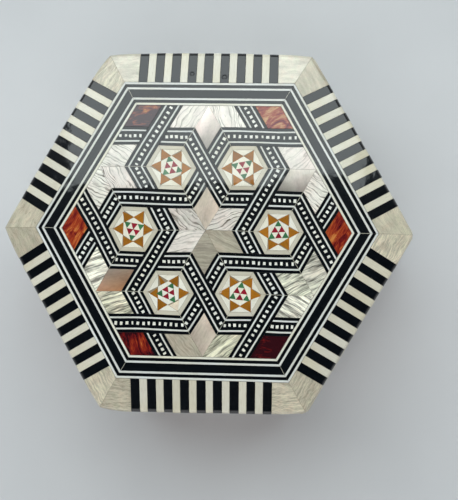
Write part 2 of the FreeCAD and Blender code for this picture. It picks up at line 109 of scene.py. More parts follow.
# Unevenness of the border, for its six sides from the front one anticlockwise: the bars' shift along the
# side, how far the outer edge stands out at the left, the middle and the right of the bars, and how far it
# does at the corner to the left. The corner blocks, right and left on each side, have their own tones and
# figure. The corner strips under them are worn back.
SIDE_SHIFTS = np.array([-0.35, -0.3, -0.1, 0.35, -0.55, 0.5])
EDGE_STANDS = np.array([[1.0, 0.75, 0.4], [-0.2, -0.1, 0.1], [0.0, 0.0, 0.0], [0.35, 0.65, 0.3],
                        [0.7, 0.6, 0.05], [0.4, 0.4, 0.3]])
CORNER_STANDS = np.array([-0.2, -0.45, -0.4, -0.45, -0.45, -0.4])
BLOCK_TONES = np.array([0.96, 0.78, 1.12, 0.85, 0.84, 0.92, 0.98, 1.0, 0.95, 0.93, 0.98, 0.93])[:, None]
BLOCK_FIGURE = [0.54, 0.52, 0.54, 0.54, 0.07, 0.12, 0.11, 0.07, 0.14, 0.5, 0.52, 0.14]
CORNER_WEAR = 0.5

# Edges of polished pieces, as inset and height: upright, then a softened arris.
FLUSH = np.array([[0.0, -INLAY], [0.0, -0.03], [0.03, 0.0]])
ANGLE_ARRIS = 0.06

# Colours as linear red, green and blue. Those of the red corners multiply the colours of their flames, and
# the rosy and the pale ones also paint a grey reflection haze over two back corners.
BONE = (0.71, 0.68, 0.58)
BONE_WHITE = (0.72, 0.735, 0.725)
BONE_CREAM = (0.8, 0.79, 0.71)
IVORY = (0.82, 0.82, 0.78)
CREAM = (0.84, 0.815, 0.73)
STAR_BONE = (0.62, 0.58, 0.49)
MITRE_BONE = (0.5, 0.49, 0.42)
GLUE_BROWN = (0.3, 0.24, 0.16)
BLACK = (0.0018, 0.003, 0.0046)
PEARL = (0.765, 0.7, 0.635)
LINED_PEARL = (0.86, 0.81, 0.73)
SILVER_PEARL = (0.55, 0.53, 0.43)
OLIVE_PEARL = (0.6, 0.57, 0.43)
WARM_PEARL = (0.71, 0.665, 0.51)
DULL_PEARL = (0.48, 0.455, 0.38)
SILK_PEARL = (0.77, 0.735, 0.62)
BEIGE_PEARL = (0.46, 0.41, 0.32)
DARK_PEARL = (0.4, 0.35, 0.28)
CORNER_PEARL = (0.63, 0.57, 0.44)
PALE_CORNER_PEARL = (0.62, 0.575, 0.475)
ROSE_PEARL = (0.56, 0.4, 0.33)
PALE_ROSE_PEARL = (0.6, 0.5, 0.45)
PALE_PINK = (0.515, 0.46, 0.41)
LILAC = (0.68, 0.585, 0.53)
PINK = (0.63, 0.53, 0.435)
SALMON = (0.39, 0.24, 0.16)
GOLD = (0.33, 0.128, 0.012)
PATCH_WOOD = (0.66, 0.58, 0.48)
GREEN = (0.045, 0.17, 0.075)
RED = (0.28, 0.012, 0.03)
PLAIN_FLAME = (1.0, 1.0, 1.0)
# Painted reflection haze: the next two pale the flames of the two back corners.
ROSY_HAZE_PAINTED_FLAME = (0.96, 1.55, 3.1)
PALE_HAZE_PAINTED_FLAME = (1.9, 9.5, 6.0)


# Flat outlines.

def polar(angle, distance):
    """The point at a distance from the centre in a direction in degrees."""
    turn = math.radians(angle)
    return np.array([math.cos(turn), math.sin(turn)]) * distance


def reach(point, angle):
    """How far a point lies from the centre along a direction in degrees."""
    return float(np.dot(point, polar(angle, 1.0)))


def sawn(*cuts, glue=GLUE):
    """Corners of a piece between straight cuts, each a direction and a distance from the centre.

    Every cut is set back by half a glue line. A corner is where two neighbouring cuts meet: the
    solution of x cos a + y sin a = d for both.
    """
    angle, distance = np.array(sorted((a % 360, d - glue / 2) for a, d in cuts)).T
    here = np.radians(angle)
    there, further = np.roll(here, -1), np.roll(distance, -1)
    spread = np.sin(there - here)
    x = (distance * np.sin(there) - further * np.sin(here)) / spread
    y = (further * np.cos(here) - distance * np.cos(there)) / spread
    return np.stack([x, y], axis=1)


def turned(outline, angle, about=(0.0, 0.0)):
    """An outline turned about a point by an angle in degrees."""
    (c, s), about = polar(angle, 1.0), np.asarray(about)
    return (outline - about) @ np.array([[c, s], [-s, c]]) + about


def all_round(outlines):
    """The outlines repeated on all six sides, side by side."""
    return [turned(outline, turn) for turn in TURNS for outline in outlines]


def strip(facing, near, far):
    """One mitred strip of a hexagonal ring, between two distances from the centre."""
    return sawn((facing, far), (facing + 180, -near), (facing + 120, 0.0), (facing - 120, 0.0))


def rectangle(left, right, bottom, top):
    """A piece between four square cuts."""
    return sawn((0, right), (90, top), (180, -left), (270, -bottom))


def drifted(outline):
    """An outline of the top as laid by hand: its sides in short steps, each point a little out of place.

    The drift is a slow sine of X bent by a sine of Y, and the other way round. It dies away towards the
    frame, over a band inside the field.
    """
    side = np.roll(outline, -1, axis=0) - outline
    steps = np.maximum(1, np.ceil(np.linalg.norm(side, axis=1) / DRIFT_STEP)).astype(int)
    which = np.repeat(np.arange(len(outline)), steps)
    share = np.concatenate([np.arange(number) / number for number in steps])
    points = outline[which] + side[which] * share[:, None]
    x, y = points.T
    out = np.max([x * math.cos(a) + y * math.sin(a) for a in np.radians(TURNS + 30)], axis=0)
    room = np.clip((FIELD - out) / DRIFT_FADE, 0, 1)
    away = np.stack([np.sin(y / 5.3 + 1.2 * np.sin(x / 7.7)),
                     np.sin(x / 5.9 + 1.2 * np.sin(y / 7.1 + 2.0))], axis=1)
    return points + DRIFT * room[:, None] * away


# Surfaces from arrays.

def linked(name, data):
    """A new object of the scene."""
    made = bpy.data.objects.new(name, data)
    bpy.context.scene.collection.objects.link(made)
    return made


def new_object(name, points, faces, finish, surface=(), smooth=False):
    """An object from arrays of points in millimetres and of faces, with its marks as attributes."""
    mesh = bpy.data.meshes.new(name)
    mesh.vertices.add(len(points))
    mesh.vertices.foreach_set("co", (points * MM).astype(np.float32).ravel())
    corners = np.concatenate([group.ravel() for group in faces]).astype(np.int32)
    sizes = np.concatenate([np.full(len(group), group.shape[1]) for group in faces])
    mesh.loops.add(len(corners))
    mesh.loops.foreach_set("vertex_index", corners)
    mesh.polygons.add(len(sizes))
    mesh.polygons.foreach_set("loop_start", (np.cumsum(sizes) - sizes).astype(np.int32))
    mesh.polygons.foreach_set("use_smooth", np.full(len(sizes), smooth))
    mesh.update(calc_edges=True)
    mesh.validate()
    kinds = (("grain", "FLOAT_VECTOR", "vector"), ("tint", "FLOAT_COLOR", "color"))
    for (label, kind, field), values in zip(kinds, surface):
        layer = mesh.attributes.new(label, kind, "POINT")
        layer.data.foreach_set(field, np.ascontiguousarray(values, np.float32).ravel())
    mesh.materials.append(finish)
    return linked(name, mesh)


def new_piece(name, points, faces, body, slot, node=None, surface=(), smooth=False):
    """An object that rides on a body, in the place of a node of the frame if one is named."""
    made = new_object(name, points, faces, FINISHES[slot], surface, smooth)
    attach(made, body)
    if node:
        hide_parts(node)
    return made


def marks(grain, tint, figure):
    """What the finishes read at every point: its grain, and its tint with the strength of figure."""
    figure = np.broadcast_to(figure, grain.shape[:-1])[..., None]
    colour = np.concatenate([np.broadcast_to(tint, grain.shape), figure], axis=-1)
    return grain.reshape(-1, 3), colour.reshape(-1, 4)


def loops_joined(pieces, rings, corners, first=0):
    """Quads between neighbouring rings of closed loops, and the two end caps of every piece."""
    index = first + np.arange(pieces * rings * corners).reshape(pieces, rings, corners)
    ahead = np.roll(index, -1, axis=2)
    quads = np.stack([index[:, :-1], ahead[:, :-1], ahead[:, 1:], index[:, 1:]], axis=-1)
    return [quads.reshape(-1, 4), index[:, -1], index[:, 0, ::-1]]


def grid_joined(index):
    """Quads between the neighbours in a grid of point numbers."""
    return np.stack([index[:-1, :-1], index[:-1, 1:], index[1:, 1:], index[1:, :-1]], axis=-1).reshape(-1, 4)


def lathe(radius, height, spokes):
    """A section of radii and heights turned about an upright axis, as rings of points."""
    angle = np.linspace(0, 2 * math.pi, spokes, endpoint=False)
    radius, height = np.array(radius)[:, None], np.array(height)[:, None]
    return np.stack(np.broadcast_arrays(radius * np.cos(angle), radius * np.sin(angle), height), axis=-1)


def pillow(plan, profile):
    """Rings over flat outlines, from the underside to the top.

    Each ring moves every side of the outline inwards by an inset and lifts it to a height. A corner
    moves along its mitre, by inset times the sum of its two inward normals over one plus their product.
    """
    ahead = np.roll(plan, -1, axis=1) - plan
    ahead /= np.linalg.norm(ahead, axis=2, keepdims=True)
    normal = np.stack([-ahead[..., 1], ahead[..., 0]], axis=2)
    before = np.roll(normal, 1, axis=1)
    mitre = (normal + before) / (1 + (normal * before).sum(axis=2, keepdims=True))
    inset, height = profile[..., None, :1], profile[..., None, 1:]
    flat = plan[:, None] + inset * mitre[:, None]
    return np.concatenate([flat, np.broadcast_to(height, flat.shape[:3] + (1,))], axis=3)


def on_side(facing, out, along, up):
    """Points out from the centre, along and up a side that faces an angle in degrees.

    X is out cos a - along sin a, and Y is out sin a + along cos a.
    """
    turn = np.radians(facing)
    x = np.cos(turn) * out - np.sin(turn) * along
    y = np.sin(turn) * out + np.cos(turn) * along
    return np.stack(np.broadcast_arrays(x, y, up), axis=-1)


def lay_tiles(name, outlines, slot, node=None, body="lid", facing=None, grain=0.0, tint=None, figure=1.0,
              lift=0.0, lean=0.2, spread=0.03, profile=FLUSH, base=TOP, shade=None):
    """Inlay pieces of one kind, each a pillow over its outline.

    On the flat top the outline is in X and Y and base is the height of the top; with facing, it is along
    and up a side. Each piece leans by its own small angle, so that it shines a little differently from
    its neighbours, and its colour differs by the spread. shade gives each piece a change of red, green and
    blue per millimetre along both directions: a gradient that paints the shell's own drift of colour
    together with a painted reflection across the piece.
    """
    number = len(outlines)
    if facing is None and base == TOP:
        outlines = [drifted(outline) for outline in outlines]
    sizes = np.array([len(outline) for outline in outlines])
    run = np.radians(np.broadcast_to(np.asarray(grain, float), number))
    colour = TINTS[slot] if tint is None else tint
    colour = np.broadcast_to(colour, (number, 3)) * rng.normal(1, spread, (number, 1))
    figure = np.broadcast_to(np.asarray(figure, float), number)
    shift = rng.uniform(0, STOCK, (number, 3))
    slope = np.tan(np.radians(rng.normal(0, lean, (number, 2))))
    raised = lift + rng.normal(0, HEIGHT_SPREAD, number)
    profile = np.broadcast_to(profile, (number,) + profile.shape[-2:])
    shade = np.zeros((number, 3, 2)) if shade is None else np.asarray(shade)
    points, faces, surface, first = [], [], [], 0
    for corners in np.unique(sizes):
        chosen = np.flatnonzero(sizes == corners)
        each = (chosen, None, None)
        plan = np.stack([outlines[one] for one in chosen])
        rings = pillow(plan, profile[chosen])
        away = rings[..., :2] - plan.mean(axis=1)[:, None, None]
        tip = (away * slope[each]).sum(axis=-1)
        tip *= np.minimum(1.0, LEAN_LIMIT / (np.abs(tip).max(axis=(1, 2), keepdims=True) + 1e-9))
        rings[:, 1:, :, 2] += raised[each] + tip[:, 1:]
        cos, sin = np.cos(run[each]), np.sin(run[each])
        along, across = away[..., 0] * cos + away[..., 1] * sin, away[..., 1] * cos - away[..., 0] * sin
        own = np.stack([along, across, rings[..., 2]], axis=-1) + shift[each]
        # Painted gradient: the piece's own drift of colour with a painted reflection across it, where shade
        # is given.
        shown = colour[each] * (1 + np.einsum("prcd,pkd->prck", away, shade[chosen]))
        surface.append(marks(own, shown, figure[each]))
        if facing is None:
            placed = rings + np.array([0, 0, base])
        else:
            placed = on_side(np.asarray(facing)[each], OUTER + rings[..., 2], rings[..., 0], rings[..., 1])
        points.append(placed.reshape(-1, 3))
        faces += loops_joined(*rings.shape[:3], first=first)
        first += len(points[-1])
    surface = [np.concatenate(values) for values in zip(*surface)]
    return new_piece(name, np.concatenate(points), faces, body, slot, node, surface)


def border_profile():
    """Section of the sloping border as a closed loop of distance from the centre and height.

    The slope runs from the flat top to the outer edge, turns down through an arc that is tangent to the
    slope and to the upright side, and comes back a thickness lower. Also gives the number of points on
    the outside and the length along it.
    """
    corner_z = TOP - BEVEL_FALL * (OUTER - FLAT)
    radius = EDGE_TANGENT * math.tan((math.pi / 2 + STEEP) / 2)
    centre = np.array([OUTER - radius, corner_z - EDGE_TANGENT])
    swing = np.linspace(math.pi / 2 - STEEP, 0.0, 7)
    arc = centre + radius * np.stack([np.cos(swing), np.sin(swing)], axis=1)
    start = np.array([[FLAT + GLUE / 2, TOP - BEVEL_FALL * GLUE / 2]])
    slope = start + np.linspace(0, 1, 5)[1:-1, None] * (arc[:1] - start)
    foot = np.array([[OUTER, SIDE_TOP + GLUE / 2]])
    outside = np.concatenate([start, slope, arc, foot])
    inside = np.array([[OUTER - INLAY, SIDE_TOP + GLUE / 2], [OUTER - INLAY, arc[-1, 1]],
                       [FLAT + GLUE / 2, TOP - INLAY]])
    steps = np.linalg.norm(np.diff(outside, axis=0), axis=1)
    return np.concatenate([outside, inside]), len(outside), np.concatenate([[0], np.cumsum(steps)])


def edge_stand(side, along):
    """How far the outer edge of the border stands out at places along its sides.

    Between the ends of the bars it is the parabola through its stands at the left, the middle and the
    right. Beyond them it passes to the stand of the corner with the square of the way there.
    """
    left, middle, right = EDGE_STANDS[side].T[..., None, None]
    share = np.clip(along / BAR_END, -1, 1)
    stand = middle + (right - left) / 2 * share + ((right + left) / 2 - middle) * share ** 2
    left_corner, right_corner = (np.roll(CORNER_STANDS, turn)[side, None, None] for turn in (0, -1))
    corner = np.where(along < 0, left_corner, right_corner)
    beyond = np.clip((np.abs(along) - BAR_END) / (HALF_SIDE - BAR_END), 0, 1) ** 2
    return stand + (corner - stand) * beyond


def lay_border(name, ends, slot, node, tint, figure=1.0, across_bar=True, wander=0.0, steps=0):
    """Pieces of the sloping border on all six sides, its section carried along each side.

    ends gives a left and a right limit for each piece, each as a place along the side plus a share of
    the distance from the centre, so that a mitre leans and a bar runs straight. The two edges of each
    piece are softened, and its outer end stands in or out by a little. steps is the number of sections
    between the two edges.
    """
    section, outer_count, lengths = border_profile()
    ends = np.tile(np.asarray(ends, float), (6, 1, 1))
    number = len(ends)
    side = np.repeat(np.arange(6), number // 6)
    ends[..., 0] += np.where(ends[..., 1] == 0, SIDE_SHIFTS[side, None], 0.0)
    soft_in, soft_down = BAR_SOFT.T
    place = np.concatenate([np.zeros(3), np.linspace(0, 1, steps + 2)[1:-1], np.ones(3)])[:, None]
    inward = np.concatenate([soft_in + GLUE / 2, np.zeros(steps), -soft_in[::-1] - GLUE / 2])[:, None]
    drop = np.concatenate([soft_down, np.zeros(steps), soft_down[::-1]])[:, None]

    def spread_out(rho):
        """Places along the side of every section, at distances from the centre."""
        left, right = (ends[:, end, :1, None] + ends[:, end, 1:, None] * rho for end in (0, 1))
        return left + (right - left) * place + inward

    outside = np.arange(len(section)) < outer_count
    above_foot = np.arange(len(section)) < outer_count - 1
    rho, height = (np.broadcast_to(column, (number, len(place), len(section))).copy() for column in section.T)
    stand = rng.normal(0, wander, (number, 1, 1)) + edge_stand(side, spread_out(rho))
    stand = stand * outside * np.clip((section[:, 0] - FLAT) / (OUTER - FLAT), 0, 1)
    rho += stand
    height -= outside * drop + above_foot * stand * BEVEL_FALL
    height += outside * rng.normal(0, 2 * HEIGHT_SPREAD, (number, 1, 1))
    along = spread_out(rho)
    lean = np.tan(np.radians(rng.normal(0, BAR_LEAN, (number, 1, 1))))
    height += outside * lean * (along - along.mean(axis=(1, 2), keepdims=True))
    points = on_side((270 + TURNS[side])[:, None, None], rho, along, height)
    down = np.broadcast_to(np.concatenate([lengths, lengths[[-1, -2, 0]]]), rho.shape)
    flat = (down, along) if across_bar else (along * BLOCK_STREAKS[0], down * BLOCK_STREAKS[1])
    own = np.stack([*flat, height], axis=-1)
    own = own + rng.uniform(0, STOCK, (number, 1, 1, 3))
    colour = np.resize(tint, (number, 3)) * rng.normal(1, BAR_SPREAD, (number, 1))
    surface = marks(own, colour[:, None, None], np.resize(figure, number)[:, None, None])
    return new_piece(name, points.reshape(-1, 3), loops_joined(*rho.shape), "lid", slot, node, surface)


# Finishes.

class Value:
    """A value that runs between nodes. Its sums, differences, products and powers are nodes too."""

    def __init__(self, nodes, socket):
        """Keep the nodes that it belongs to and the socket that it comes from."""
        self.nodes, self.socket = nodes, socket

    def joined(self, operation, other):
        """The result of an operation with another value, for numbers or for vectors and colours."""
        if self.socket.type == "VALUE":
            return self.nodes.math(operation, self, other)
        if isinstance(other, Value) and other.socket.type == "VALUE":
            return self.nodes.node("VectorMath", {0: self, "Scale": other}, operation="SCALE")
        return self.nodes.node("VectorMath", {0: self, 1: other}, operation=operation)

    __add__ = partialmethod(joined, "ADD")
    __sub__ = partialmethod(joined, "SUBTRACT")
    __mul__ = partialmethod(joined, "MULTIPLY")
    __pow__ = partialmethod(joined, "POWER")


class Nodes:
    """Short calls for the nodes of a material or of the world."""

    def __init__(self, tree):
        """Keep the tree that the nodes go into."""
        self.tree = tree

    def feed(self, socket, value):
        """Link a value to a socket, or set the socket to a constant."""
        if isinstance(value, Value):
            self.tree.links.new(value.socket, socket)
        else:
            socket.default_value = value

    def node(self, kind, inputs, output=0, **settings):
        """One output of a new node, with its inputs fed."""
        made = self.tree.nodes.new("ShaderNode" + kind)
        for key, value in settings.items():
            setattr(made, key, value)
        for key, value in inputs.items():
            self.feed(made.inputs[key], value)
        return Value(self, made.outputs[output])

    def math(self, operation, *values):
        """One step of arithmetic on numbers."""
        return self.node("Math", dict(enumerate(values)), operation=operation)

    def noise(self, where, scale, detail=2.0, rough=0.5, distortion=0.0, output="Fac"):
        """Soft noise, stretched if the scale has three numbers."""
        if isinstance(scale, tuple):
            where, scale = where * scale, 1.0
        return self.node("TexNoise", {"Vector": where, "Scale": scale, "Detail": detail, "Roughness": rough,
                                      "Distortion": distortion}, output)

    def ramp(self, value, *stops):
        """Colours that pass into each other, each stop a position and a colour."""
        made = self.node("ValToRGB", {"Fac": value}, "Color")
        elements = made.socket.node.color_ramp.elements
        for place, (position, colour) in enumerate(stops):
            element = elements[place] if place < 2 else elements.new(position)
            element.position = position
            element.color = (*colour, 1.0)
        return made

    def mix(self, share, first, second, blend="MIX"):
        """Two colours mixed."""
        return self.node("Mix", {0: share, 6: first, 7: second}, 2, data_type="RGBA", blend_type=blend)

    def times(self, first, second):
        """Two colours multiplied."""
        return self.mix(1.0, first, second, "MULTIPLY")

    def level(self, value, low, high, out_low=0.0, out_high=1.0):
        """A value carried from one range to another and held at its ends."""
        inputs = {"Value": value, "From Min": low, "From Max": high, "To Min": out_low, "To Max": out_high}
        return self.node("MapRange", inputs)

    def bump(self, height, distance):
        """The normal of a relief whose height of one is a distance in millimetres."""
        return self.node("Bump", {"Height": height, "Distance": distance * MM, "Strength": 1.0})

    def place(self):
        """Object coordinates in millimetres."""
        return self.node("TexCoord", {}, "Object") * ((1 / MM,) * 3)


class Finish(Nodes):
    """A procedural material."""

    def __init__(self, name, sockets):
        """A new material, with constants for its shader."""
        self.material = bpy.data.materials.new(name)
        self.material.use_nodes = True
        super().__init__(self.material.node_tree)
        self.shade(sockets)

    def shade(self, sockets):
        """Feed sockets of the shader by their names."""
        for name, value in sockets.items():
            self.feed(self.tree.nodes["Principled BSDF"].inputs[name], value)

    def marks(self):
        """The grain, the tint and the strength of figure of the pieces."""
        return [self.node("Attribute", {}, output, attribute_name=name)
                for name, output in (("grain", "Vector"), ("tint", "Color"), ("tint", "Alpha"))]

    def done(self, sockets, lacquer=0.0):
        """The finished material, under a clear polished coat whose surface is uneven by its strength."""
        self.shade(sockets)
        if lacquer:
            where = self.place()
            height = self.noise(where, 0.16, 1.0) + self.noise(where, 0.7) * 0.12
            self.shade({"Coat Normal": self.bump(height, 0.03 * lacquer), "Coat Weight": 1.0,
                        "Coat Roughness": 0.035, "Coat IOR": 1.545, "Specular IOR Level": 0.08})
        return self.material


def pearl_finish():
    """Mother-of-pearl: silky streaks along the grain, dark growth lines, soft mottling, drifting tint.

    The strength of figure runs from smooth at 0 through lined at 0.3 to strongly streaked at 1. Growth
    lines lie where a count of layers across the grain, made uneven by a stretched noise, passes a whole
    number. Each has its own strength and a soft shade along one side of it. The silky streaks are partly
    the shell's figure and partly a painted lustre, and the broad cloud, strongest on smooth pieces, is a
    painted sheen.
    """
    made = Finish("mother_of_pearl", {"Roughness": 0.3, "Metallic": 0.1})
    grain, tint, figure = made.marks()
    drift = made.noise(grain, 0.12, output="Color") - (0.5, 0.5, 0.5)
    bent = grain + drift * (1.5, 1.9, 0.0) * made.level(figure, 0.6, 0.85, 2.0, 1.0)
    # Silky streaks: partly the shell's figure, partly a painted lustre of bright and dark bands.
    silk_and_sheen = made.noise(bent, (0.1, 0.9, 1.0)) * 0.58 + made.noise(bent, (0.3, 3.2, 1.0)) * 0.42
    light = made.level(silk_and_sheen, 0.4, 0.6, -1.0, 1.0) * (figure ** 2.0 * 0.76 + 0.04) + 1.0
    # A broad painted sheen band across each piece, strongest on smooth pieces.
    cloud = made.level(made.noise(grain, (0.07, 0.2, 1.0)), 0.3, 0.7, -1.0, 1.0)
    light = light + cloud * (made.level(figure, 0.0, 0.25, 0.16, 0.0) + 0.08)
    mottle = made.noise(bent, (0.9, 1.7, 1.0), 3.0, 0.6)
    light = light + made.level(mottle, 0.3, 0.7, -0.09, 0.09)

    ripple = made.noise(bent, (0.07, 0.3, 1.0), 3.0, 0.55)
    layers = made.node("SeparateXYZ", {0: bent}, "Y") * 0.8 + ripple * 4.6
    between = made.math("FRACT", layers)
    line = made.math("MAXIMUM", made.level(between, 0.64, 0.86), between ** 2.5 * 0.38)
    own = made.node("TexWhiteNoise", {"W": made.math("FLOOR", layers)}, noise_dimensions="1D")
    fade = made.level(made.noise(grain, 0.35, 1.0), 0.35, 0.6, 0.55, 1.0)
    fade = fade * made.level(own, 0.0, 0.6, 0.55, 1.0)
    lined = made.level(made.math("ABSOLUTE", figure - 0.3), 0.03, 0.22, 1.0, 0.0)
    hair = line * (fade * lined)

    hue = made.noise(grain, 0.2, 1.0)
    glow = made.ramp(hue, (0.3, (1.0, 0.96, 0.95)), (0.5, (1.0, 1.0, 1.0)), (0.7, (0.97, 1.0, 0.97)))
    colour = made.times(tint, glow) * light
    dark = made.times(colour, (0.12, 0.1, 0.07, 1.0))
    return made.done({"Base Color": made.mix(hair, colour, dark),
                      "Normal": made.bump(silk_and_sheen * figure - hair * 0.1, 0.22)}, lacquer=1.0)


def bone_finish():
    """Polished bone: faint fibres along the grain, short darker canals and a little yellowing."""
    made = Finish("bone", {})
    grain, tint, _ = made.marks()
    fibre = made.noise(grain, (0.12, 3.2, 1.0), 3.0)
    pore = made.level(made.noise(grain, (0.7, 6.0, 1.0), 1.0), 0.66, 0.74)
    age = made.noise(made.place(), 0.07)
    colour = made.times(tint, made.ramp(fibre, (0.25, (0.9, 0.89, 0.86)), (0.7, (1.04, 1.04, 1.04))))
    colour = made.times(colour, made.ramp(age, (0.35, (1.0, 1.0, 1.0)), (0.7, (0.98, 0.95, 0.86))))
    return made.done({"Base Color": made.mix(pore * 0.35, colour, (0.38, 0.32, 0.22, 1.0)),
                      "Roughness": made.level(fibre, 0.2, 0.8, 0.28, 0.42),
                      "Normal": made.bump(fibre - pore, 0.006)}, lacquer=1.0)


def black_finish():
    """Black inlay: deep, with faint grey streaks, fine rubbing and a few pits under the polish."""
    made = Finish("black_inlay", {})
    grain, tint, _ = made.marks()
    streak = made.noise(grain, (0.1, 2.4, 1.0), 3.0)
    rub = made.noise(made.place(), (0.25, 1.9, 1.0), 4.0, 0.6)
    pit = made.level(made.noise(made.place(), 1.7, 1.0), 0.72, 0.78)
    colour = made.times(tint, made.ramp(streak, (0.3, (0.7, 0.7, 0.72)), (0.75, (1.9, 1.85, 1.8))))
    return made.done({"Base Color": made.mix(pit * 0.5, colour, (0.03, 0.03, 0.032, 1.0)),
                      "Roughness": made.level(rub, 0.3, 0.75, 0.12, 0.3),
                      "Normal": made.bump(streak * 0.15 - pit, 0.012)}, lacquer=1.3)


def flame_finish():
    """Red corner pieces: dark red shot with orange and amber, in soft streaks along the grain."""
    made = Finish("red_flame", {"Roughness": 0.22})
    grain, tint, figure = made.marks()
    cloud = made.noise(grain, (0.16, 0.34, 1.0), 3.0, 0.55, 1.4)
    streak = made.noise(grain, (0.3, 2.2, 1.0), 3.0, 0.6, 0.8)
    heat = cloud * 1.25 + streak * 0.6 + (figure - 0.875)
    colour = made.ramp(heat, (0.3, (0.03, 0.003, 0.006)), (0.48, (0.17, 0.009, 0.008)),
                       (0.66, (0.37, 0.05, 0.014)), (0.85, (0.58, 0.21, 0.05)))
    return made.done({"Base Color": made.times(colour, tint), "Normal": made.bump(streak, 0.01)}, lacquer=1.0)


def stained_finish():
    """Small stained pieces: their own colour with fine streaks and a cloudy change of depth."""
    made = Finish("stained_inlay", {"Roughness": 0.3})
    grain, tint, _ = made.marks()
    streak = made.noise(grain, (0.5, 3.0, 1.0), 3.0)
    depth = streak * 0.6 + made.noise(grain, 0.5) * 0.5
    colour = made.times(tint, made.ramp(depth, (0.3, (0.74, 0.7, 0.66)), (0.75, (1.2, 1.18, 1.1))))
    return made.done({"Base Color": colour, "Normal": made.bump(streak, 0.008)}, lacquer=1.0)


def wood_finish(run):
    """Plain brown wood with its grain along a direction in degrees: growth bands, pores and flecks."""
    made = Finish(f"carcass_wood_{run}", {})
    where = made.node("Mapping", {"Vector": made.place(), "Rotation": (0.0, 0.0, -math.radians(run))})
    bands = made.noise(where, (0.02, 0.55, 0.4), 4.0, 0.6, 0.6)
    pores = made.noise(where, (0.35, 7.0, 5.0))
    pore = made.level(pores, 0.58, 0.72)
    colour = made.ramp(bands, (0.3, (0.17, 0.08, 0.032)), (0.5, (0.29, 0.15, 0.068)),
                       (0.7, (0.38, 0.215, 0.105)))
    return made.done({"Base Color": made.mix(pore * 0.55, colour, (0.07, 0.032, 0.013, 1.0)),
                      "Roughness": made.level(pores, 0.3, 0.7, 0.42, 0.62),
                      "Normal": made.bump(bands * 0.4 - pore, 0.04)})


def pile_finish(name, dark, pale, nap, rise):
    """Velvet or felt: short pile whose lie changes in soft patches, with a sheen at a slant."""
    made = Finish(name, {"Roughness": 0.9, "Specular IOR Level": 0.15, "Sheen Weight": nap,
                         "Sheen Roughness": 0.35, "Sheen Tint": (*pale, 1.0)})
    where = made.place()
    lie, tuft = made.noise(where, 0.12, 3.0, 0.55, 0.8), made.noise(where, 4.5)
    return made.done({"Base Color": made.ramp(lie * 0.7 + tuft * 0.4, (0.35, dark), (0.75, pale)),
                      "Normal": made.bump(tuft, rise)})


def brass_finish():
    """Brass with lengthwise brushing, brown tarnish in patches and rubbed brighter places."""
    made = Finish("hinge_brass", {"Metallic": 1.0})
    brush = made.noise(made.place(), (0.3, 9.0, 9.0), 3.0)
    tarnish = made.noise(made.place(), 0.35, 4.0, 0.6)
    colour = made.ramp(tarnish, (0.3, (0.3, 0.17, 0.055)), (0.5, (0.62, 0.42, 0.15)),
                       (0.75, (0.8, 0.6, 0.27)))
    return made.done({"Base Color": colour, "Roughness": made.level(brush, 0.2, 0.8, 0.2, 0.42),
                      "Normal": made.bump(brush, 0.008)})


# The finish of each slot, and its usual colour.
pearl, bone, stained = pearl_finish(), bone_finish(), stained_finish()
FINISHES = {
    "pearl": pearl, "pink_pearl": pearl, "bone": bone, "cream": bone, "star_border": bone,
    "gold_wood": stained, "green": stained, "red": stained,
    "black_inlay": black_finish(), "red_corner": flame_finish(), "hinge_brass": brass_finish(),
    "velvet": pile_finish("red_velvet", (0.11, 0.006, 0.01), (0.24, 0.016, 0.028), 0.5, 0.1),
    "base_felt": pile_finish("maroon_felt", (0.035, 0.006, 0.009), (0.1, 0.02, 0.026), 0.25, 0.2),
}
TINTS = {"bone": BONE, "black_inlay": BLACK, "pearl": PEARL, "cream": CREAM, "star_border": STAR_BONE,
         "green": GREEN, "red": RED}


# The lid's strapwork.

def strap_runs():
    """The straps that each turn of 60 degrees repeats: a point, a direction and the two end cuts."""
    half, bend = STRAP / 2, FIELD / 2
    outer, inner = polar(0, PITCH * 1.5), polar(30, FIELD / 2)
    outer_side, inner_side = reach(outer, 30), reach(inner, 330)
    return [
        (outer, 300, (330, FIELD), (150, -bend)),
        (outer, 60, (30, FIELD), (210, -outer_side - half)),
        (outer, 60, (210, -bend), (30, outer_side - half)),
        (inner, 60, (90, bend), (270, 0.0)),
        (inner, 0, (330, bend), (150, -inner_side - half)),
        (inner, 0, (150, 0.0), (330, inner_side - half)),
    ]


def strap_layer(spans):
    """Outlines and directions of one layer of the straps, between distances from their middle lines."""
    outlines, directions = [], []
    for turn in TURNS:
        for point, direction, end, other_end in strap_runs():
            middle = reach(point, direction + 90)
            for low, high in spans:
                piece = sawn((direction + 90, middle + high), (direction - 90, -middle - low), end, other_end)
                outlines.append(turned(piece, turn))
                directions.append(direction + turn)
    return outlines, directions


def strap_squares():
    """The row of bone squares in every strap core, each a little out of true."""
    outlines, directions = [], []
    for turn in TURNS:
        for point, direction, *cuts in strap_runs():
            stops = [(distance - reach(point, angle)) / math.cos(math.radians(angle - direction))
                     for angle, distance in cuts]
            start, length = min(stops), max(stops) - min(stops)
            number = max(1, round(length / SQUARE_PITCH))
            for place in range(number):
                along = start + length * (place + 0.5) / number + rng.normal(0, 0.05)
                middle = point + polar(direction, along) + polar(direction + 90, rng.normal(0, 0.05))
                long, wide = SQUARE_LONG + rng.normal(0, 0.05), SQUARE_WIDE + rng.normal(0, 0.03)
                corners = np.array([[-long, -wide], [long, -wide], [long, wide], [-long, wide]])
                corners = turned(corners + rng.normal(0, 0.035, (4, 2)), direction + rng.normal(0, 4.0))
                outlines.append(turned(corners + middle, turn))
                directions.append(direction + turn)
    return outlines, directions


